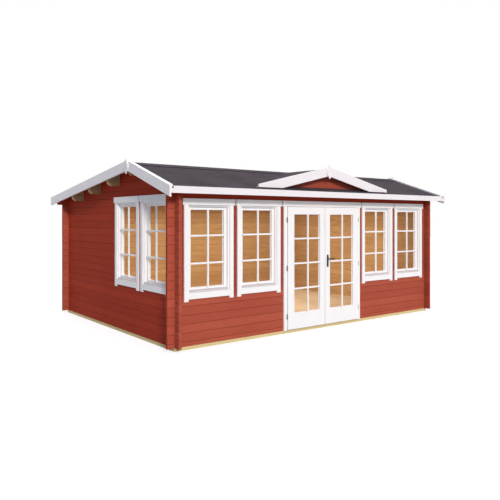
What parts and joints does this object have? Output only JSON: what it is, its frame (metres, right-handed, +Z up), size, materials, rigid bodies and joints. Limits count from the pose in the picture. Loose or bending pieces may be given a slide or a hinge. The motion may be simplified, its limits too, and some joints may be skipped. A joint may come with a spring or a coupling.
{
  "type": "log cabin",
  "caption": "Garden log cabin with interlocking log walls, glazed double doors under a small cross gable, paired windows and a shallow felted roof with barge boards.",
  "frame": {"origin": "ground level under the middle of the roof's plan, which is the middle of the log walls", "axes": "+X along the front towards the right-hand door, +Y from the front to the rear, +Z up"},
  "size_m": [6.0406, 4.54, 2.6377],
  "materials": {
    "red_logs": "satin red paint outside, bare pine inside",
    "white_trim": "satin white paint",
    "pine": "bare planed pine",
    "roofing_felt": "mineral felt",
    "treated_beam": "treated timber",
    "window_glass": "clear",
    "hinge_steel": "zinc plated",
    "handle_metal": "black satin"
  },
  "bodies": {
    "house": {"front_wall_left": "red_logs", "front_wall_right": "red_logs", "front_wall_over_doors": "red_logs", "rear_wall": "red_logs", "left_wall": "red_logs", "right_wall": "red_logs", "cross_gable_wall": "red_logs", "front_fascia": "white_trim", "rear_fascia": "white_trim", "left_barge_boards": "white_trim", "right_barge_boards": "white_trim", "verge_battens": "white_trim", "apex_ornaments": "white_trim", "cross_gable_barge_boards": "white_trim", "door_frame": "white_trim", "door_trim": "white_trim", "front_window_frames": "white_trim", "front_window_sashes": "white_trim", "front_window_trim": "white_trim", "side_window_frames": "white_trim", "side_window_sashes": "white_trim", "side_window_trim": "white_trim", "floor_boards": "pine", "ridge_purlin": "pine", "rear_purlins": "pine", "front_roof_boards": "pine", "rear_roof_boards": "pine", "cross_gable_roof_boards": "pine", "door_threshold": "pine", "front_roof_felt": "roofing_felt", "rear_roof_felt": "roofing_felt", "ridge_capping": "roofing_felt", "cross_gable_felt": "roofing_felt", "base_frame": "treated_beam", "front_window_glass": "window_glass", "side_window_glass": "window_glass", "hinge_pins": "hinge_steel"},
    "left_leaf": {"left_door": "white_trim", "left_door_glass": "window_glass", "left_door_hinges": "hinge_steel"},
    "right_leaf": {"right_door": "white_trim", "right_door_glass": "window_glass", "right_door_hinges": "hinge_steel", "handle_plates": "handle_metal"},
    "lever": {"door_lever": "handle_metal"}
  },
  "joints": [
    {"name": "left_door_swing", "type": "hinge", "parent": "house", "child": "left_leaf", "pos_m": [-0.808, -2.033, 1], "axis": [0, 0, -1], "range_deg": [0, 110]},
    {"name": "right_door_swing", "type": "hinge", "parent": "house", "child": "right_leaf", "pos_m": [0.808, -2.033, 1], "axis": [0, 0, 1], "range_deg": [0, 110]},
    {"name": "lever_turn", "type": "hinge", "parent": "right_leaf", "child": "lever", "pos_m": [0.058, -2.02, 1.116], "axis": [0, 1, 0], "range_deg": [0, 45], "stiffness_Nm_per_rad": 1}
  ]
}
